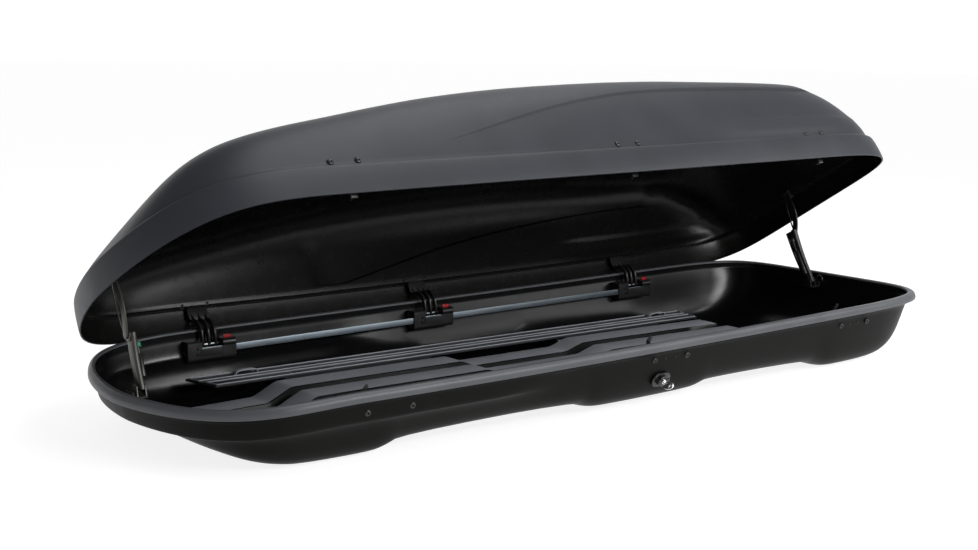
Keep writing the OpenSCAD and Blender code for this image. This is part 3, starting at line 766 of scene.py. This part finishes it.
for name, (x, side, foot, elbow, top, bulge, back) in LIFTERS.items():
    metal = LIFTER_METAL[name]
    parts = [sweep(up_rim(x + side * 2, bezier(elbow, bulge, top)), round_section(17, 4.4, 1.8), ACROSS),
             sweep(up_rim(x + side * 2.4, bezier(elbow, back, top)), round_section(4, 2.6, 1), ACROSS)]
    parts += [lathe(PIVOT_DISC, facing_x(x, y, RIM + z, side)) for y, z in (elbow, top)]
    upper = gather(name + "_upper_straps", parts, 45)
    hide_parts(name + "_upper_arm")
    dress(upper, name + "_upper", metal, "arm_metal")

    run = np.array(elbow, float) - foot
    length = float(np.linalg.norm(run))
    t = np.linspace(-0.05, 1.04, 20)
    bow = np.array((run[1], -run[0])) / length * ARM_BOW * np.sin(math.pi * np.clip(t, 0, 1))[:, None]
    line = np.array(foot) + t[:, None] * run + bow
    low, high = ARM_WIDTHS[name]
    grow = (low + (high - low) * np.clip(t, 0, 1) ** 0.7) / ARM_BASE
    body = sweep(up_rim(x - side * ARM_MIDDLE, line), round_section(ARM_BASE, 9, 3.4), ACROSS, grow)
    face = up_rim(x - side * ARM_MIDDLE - side * ARM_FACE * grow, line)[2:-2]
    groove = sweep(face, round_section(0.42 * low, 2.4, 1), ACROSS)
    arm = gather(name + "_lower_arm_shaped", [body, groove], 45)
    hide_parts(name + "_lower_arm")
    dress(arm, name + "_lower", metal, "arm_metal")

    lean = math.atan2(run[1], run[0]) - math.pi / 2
    stand = Matrix.Translation((x - side * STRUT_MIDDLE, foot[0], RIM + foot[1]))
    stand = stand @ Matrix.Rotation(lean, 4, "X")
    barrel = BARREL * length
    parts = [lathe([(0.4, 20), (5.6, 20), (6.6, 21), (6.6, barrel), (5.8, barrel + 1.2), (3, barrel + 1.6),
                    (2.6, length - 12), (0.4, length - 12)], stand)]
    for at in (25 / length, 1 - 14 / length):
        y, z = foot + at * run
        parts.append(lathe(STRUT_PIN, facing_x(x - side * 22, y, RIM + z, side)))
    strut = gather(name + "_strut_turned", parts, 40)
    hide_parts(name + "_strut")
    dress(strut, name + "_lower", MATS["strut_metal"], "strut_metal")
    collar = [(3, -26), (6.6, -26), (7.2, -25), (7.2, -16), (6.6, -15), (3, -15)]
    bush = gather(name + "_bush", [lathe([(r, length + z) for r, z in collar], stand)], 40)
    dress(bush, name + "_lower", BUSH_GREEN if name == "front" else BLACK_ARM)
    cap = gather(name + "_elbow_cap", [lathe(ELBOW_CAP, facing_x(x, elbow[0], RIM + elbow[1], side))], 40)
    dress(cap, name + "_lower", metal, "arm_metal")

loop = np.array([(11 * math.cos(a) - 2, 14 * math.sin(a) + 6) for a in np.linspace(0, math.pi, 14)])
wire = sweep(up_rim(LOOP_X, loop), round_section(4.4, 4.4, 2.1), ACROSS)
dress(gather("rear_foot_loop", [wire]), "tub", BLACK_ARM)


# ---- fittings beside the hinge units ---------------------------------------------
ROLLER = [(0.4, 0), (6.5, 0), (8, 1.4), (8, 33), (6.5, 34.4), (0.4, 34.4)]
SMALL_HEAD = [(0.4, 1.1), (1.7, 1.1), (2.2, 2.1), (3.2, 2), (3.9, 1), (3.9, -1), (0.4, -1)]
PLUG = [(0.4, 1.4), (2.6, 1.4), (3.4, 3), (5.6, 3.4), (6.8, 2.2), (7, -3), (0.4, -3)]

for number, x in enumerate(FAR_X):
    parts = [lathe(ROLLER, facing_x(x + 25, HINGE_Y - 14, HINGE_Z + 3)),
             plate(x - 29, x + 29, HINGE_Y - 18.6, HINGE_Y - 15.2, HINGE_Z - 22, HINGE_Z - 5.5, 3)]
    for dz in (-5, -18):
        at = Matrix.Translation((x - 36, HINGE_Y - 17, HINGE_Z + dz))
        parts.append(lathe(SMALL_HEAD, at @ Matrix.Rotation(math.pi / 2, 4, "X"), 18))
    fittings = gather(f"hinge_fittings_{number + 1}", parts, 35)
    dress(fittings, "tub", MATS["housing_plastic"], "housing_plastic")
inwards = wall_place(-764, 1, 29, RIM - 27, -15) @ Matrix.Rotation(math.pi, 4, "X")
dress(gather("wall_plug", [lathe(PLUG, inwards)], 35), "tub", PLUG_WHITE)


# ---- rail beads ----------------------------------------------------------------
STRIPS = ((-43, -11), (11, 43))     # the strips of a rail on each side of its slot, across
ARCHES = ((-690, -632), (628, 690))  # where a low arch stands over a strip, along
RAIL_NOSE, RAIL_TAIL = (-784, -0.2826), (754, 0.239)  # a bead's ends: x in the rail's middle, slant


def bead(name, y):
    """Raised edges round both strips of a rail: closed in plan, following the rail's fall."""
    parts = []
    for low, high in STRIPS:
        ends = ((RAIL_NOSE, low), (RAIL_TAIL, low), (RAIL_TAIL, high), (RAIL_NOSE, high))
        corners = [(x + slant * t, t) for (x, slant), t in ends]
        for (x0, y0), (x1, y1) in zip(corners, corners[1:] + corners[:1]):
            path = [(x0 + (x1 - x0) * t, y + y0 + (y1 - y0) * t,
                     RAIL_Z + 3.2 - RAIL_FALL * (x0 + (x1 - x0) * t)) for t in np.linspace(0, 1, 9)]
            parts.append(sweep(path, round_section(2.6, 3.4, 1.2, 2)))
    for x0, x1 in ARCHES:
        level = RAIL_Z + 2.5 - RAIL_FALL * (x0 + x1) / 2
        arch = rounded([(x0, y + 27, level), (x0 + 5, y + 27, level + 9), (x1 - 5, y + 27, level + 9),
                        (x1, y + 27, level)])
        parts.append(sweep(arch, round_section(14, 3, 1.2, 2)))
    # the beads take the light grey painted highlight colour, which stands for the light catching the rails'
    # edges
    dress(gather(name, parts), "tub", PAINTED_TOP_HIGHLIGHT, "rail_plastic")


bead("rail_beads_near", -RAIL_Y)
bead("rail_beads_far", RAIL_Y)


# ---- stage, light and camera ---------------------------------------------------
CAMERA_AT = (-2.2915, -2.6130, 0.7951)
AZIMUTH, ELEVATION, ROLL = math.radians(-39.19), math.radians(9.454), math.radians(0.579)
LENS, SENSOR = 54.16, 36
FLOOR_HALF = 40000                                  # millimetres
BELLY, LOBE = Vector((-0.775, 0, -0.0325)), Vector((0.815, 0, -0.0495))


def build_camera():
    back = Vector((math.sin(AZIMUTH) * math.cos(ELEVATION), -math.cos(AZIMUTH) * math.cos(ELEVATION),
                   math.sin(ELEVATION)))
    level = Vector((math.cos(AZIMUTH), math.sin(AZIMUTH), 0))
    right = level * math.cos(ROLL) + back.cross(level) * math.sin(ROLL)
    data = bpy.data.cameras.new("camera")
    data.lens, data.sensor_width = LENS, SENSOR
    camera = bpy.data.objects.new("camera", data)
    axes = Matrix((right, back.cross(right), back)).transposed()
    camera.matrix_world = Matrix.Translation(CAMERA_AT) @ axes.to_4x4()
    bpy.context.scene.collection.objects.link(camera)
    bpy.context.scene.camera = camera


def area_light(name, at, to, width, power, height):
    data = bpy.data.lights.new(name, "AREA")
    data.energy = power
    data.shape = "RECTANGLE"
    data.size = width
    data.size_y = height
    lamp = bpy.data.objects.new(name, data)
    lamp.location = at
    lamp.rotation_euler = (Vector(to) - Vector(at)).to_track_quat("-Z", "Y").to_euler()
    bpy.context.scene.collection.objects.link(lamp)


def build_stage():
    """A wide pale floor, which the box rests on at its belly and its tail's lobe, and the world's light."""
    corners = [(x * FLOOR_HALF, y * FLOOR_HALF, 0) for x, y in ((-1, -1), (1, -1), (1, 1), (-1, 1))]
    floor = mesh_object("floor", corners, [(0, 1, 2, 3)])
    floor.location = BELLY
    floor.rotation_euler = (0, math.atan2(BELLY.z - LOBE.z, LOBE.x - BELLY.x), 0)
    mat, _, _, bsdf = shader("floor")
    bsdf.inputs["Base Color"].default_value = (0.3, 0.3, 0.3, 1)
    bsdf.inputs["Emission Color"].default_value = (1, 1, 1, 1)
    bsdf.inputs["Emission Strength"].default_value = 0.85
    bsdf.inputs["Roughness"].default_value = 0.9
    bsdf.inputs["Specular IOR Level"].default_value = 0.1
    floor.data.materials.append(mat)
    world = bpy.data.worlds.new("studio")
    world.use_nodes = True
    nodes, links = world.node_tree.nodes, world.node_tree.links
    background = nodes["Background"]
    background.inputs["Color"].default_value = (1, 1, 1, 1)
    direction = nodes.new("ShaderNodeTexCoord")
    toward = nodes.new("ShaderNodeVectorMath")
    toward.operation = "DOT_PRODUCT"
    toward.inputs[1].default_value = (-math.sin(AZIMUTH), math.cos(AZIMUTH), 0)
    links.new(direction.outputs["Generated"], toward.inputs[0])
    level = nodes.new("ShaderNodeMapRange")
    level.interpolation_type = "SMOOTHSTEP"
    level.inputs["From Min"].default_value, level.inputs["From Max"].default_value = 0.55, 0.85
    level.inputs["To Min"].default_value, level.inputs["To Max"].default_value = 0.28, 1.05
    links.new(toward.outputs["Value"], level.inputs["Value"])
    links.new(level.outputs["Result"], background.inputs["Strength"])
    bpy.context.scene.world = world


build_stage()
build_camera()
area_light("top", (0.8, -0.3, 3.2), (0.4, 0, 0.1), 3.4, 62, 1.8)
area_light("front", (0.8, -3.4, 1.8), (0.1, 0.2, 0.1), 2.6, 80, 0.7)
area_light("lid fill", (2.3, -1.35, 0.95), (0.5, 0.45, 0.28), 1.5, 6, 0.55)
area_light("fold", (1.3, -1.7, 1.5), (-0.5, 0.4, 0.04), 2.3, 15, 0.2)
bpy.context.scene.view_settings.view_transform = "Standard"
